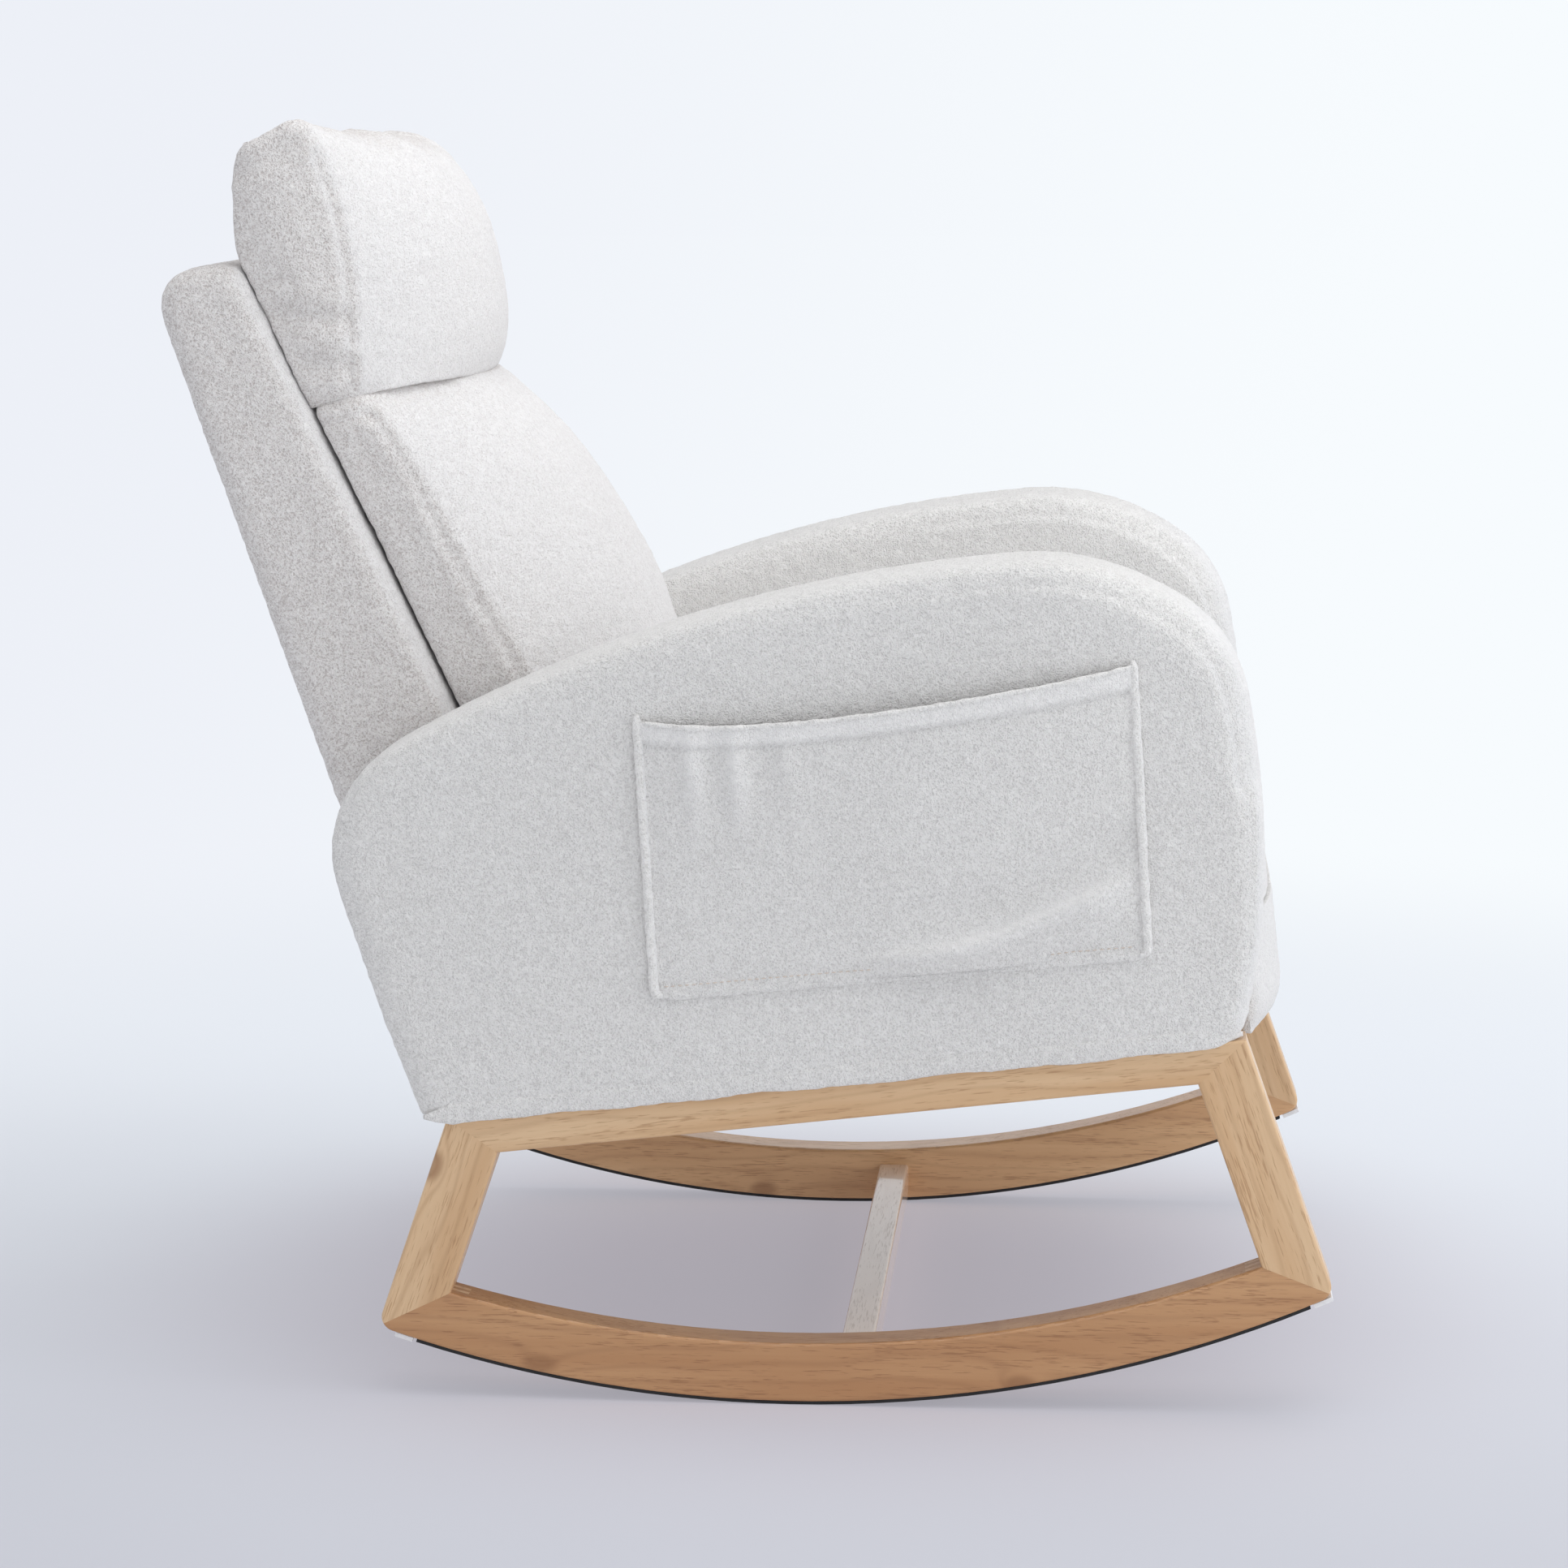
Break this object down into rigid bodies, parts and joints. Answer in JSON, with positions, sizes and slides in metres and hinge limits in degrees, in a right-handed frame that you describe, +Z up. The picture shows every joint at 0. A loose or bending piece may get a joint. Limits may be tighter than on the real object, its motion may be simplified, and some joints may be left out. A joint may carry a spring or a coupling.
{
  "type": "upholstered rocking chair",
  "caption": "Upholstered rocking chair on curved wooden side frames, with crowned padded arms, side pockets, a loose back cushion and a headrest pillow.",
  "frame": {"origin": "on the floor, midway between the runners, on the line where both touch it at rest", "axes": "+X across the chair to the sitter's left, -Y the way the sitter faces, +Z up"},
  "size_m": [0.7284, 0.9447, 1.0142],
  "materials": {
    "boucle": "woolly looped pile",
    "frame_wood": "satin",
    "stretcher_wood": "satin",
    "inner_wood": "sawn",
    "plywood": "sanded",
    "webbing": "woven",
    "dust_cloth": "matt felt",
    "black_rubber": "matt",
    "white_plastic": "matt",
    "zinc_steel": "zinc plated"
  },
  "bodies": {
    "root": {"arm_bolts": "zinc_steel", "arm_tee_nuts": "zinc_steel", "back_bolts": "zinc_steel", "back_bottom_rail": "inner_wood", "back_cover": "boucle", "back_cushion": "boucle", "back_dust_cover": "dust_cloth", "back_insert_nuts": "zinc_steel", "back_lumbar_rail": "inner_wood", "back_top_rail": "inner_wood", "back_webbing": "webbing", "base_bolts": "zinc_steel", "base_insert_nuts": "zinc_steel", "headrest_pillow": "boucle", "left_arm_base_rail": "inner_wood", "left_arm_cover": "boucle", "left_arm_inner_panel": "plywood", "left_arm_outer_panel": "plywood", "left_arm_spacer_blocks": "inner_wood", "left_back_stile": "inner_wood", "left_front_post": "frame_wood", "left_grip_strip": "black_rubber", "left_rear_post": "frame_wood", "left_rocker_runner": "frame_wood", "left_seat_side_rail": "inner_wood", "left_side_pocket": "boucle", "left_top_rail": "frame_wood", "right_arm_base_rail": "inner_wood", "right_arm_cover": "boucle", "right_arm_inner_panel": "plywood", "right_arm_outer_panel": "plywood", "right_arm_spacer_blocks": "inner_wood", "right_back_stile": "inner_wood", "right_front_post": "frame_wood", "right_grip_strip": "black_rubber", "right_rear_post": "frame_wood", "right_rocker_runner": "frame_wood", "right_seat_side_rail": "inner_wood", "right_side_pocket": "boucle", "right_top_rail": "frame_wood", "runner_stop_pads": "white_plastic", "runner_stretcher": "stretcher_wood", "seat_apron": "boucle", "seat_corner_blocks": "inner_wood", "seat_cushion": "boucle", "seat_dust_cover": "dust_cloth", "seat_front_rail": "inner_wood", "seat_rear_rail": "inner_wood", "seat_webbing": "webbing", "stretcher_dowels": "stretcher_wood"}
  },
  "joints": []
}
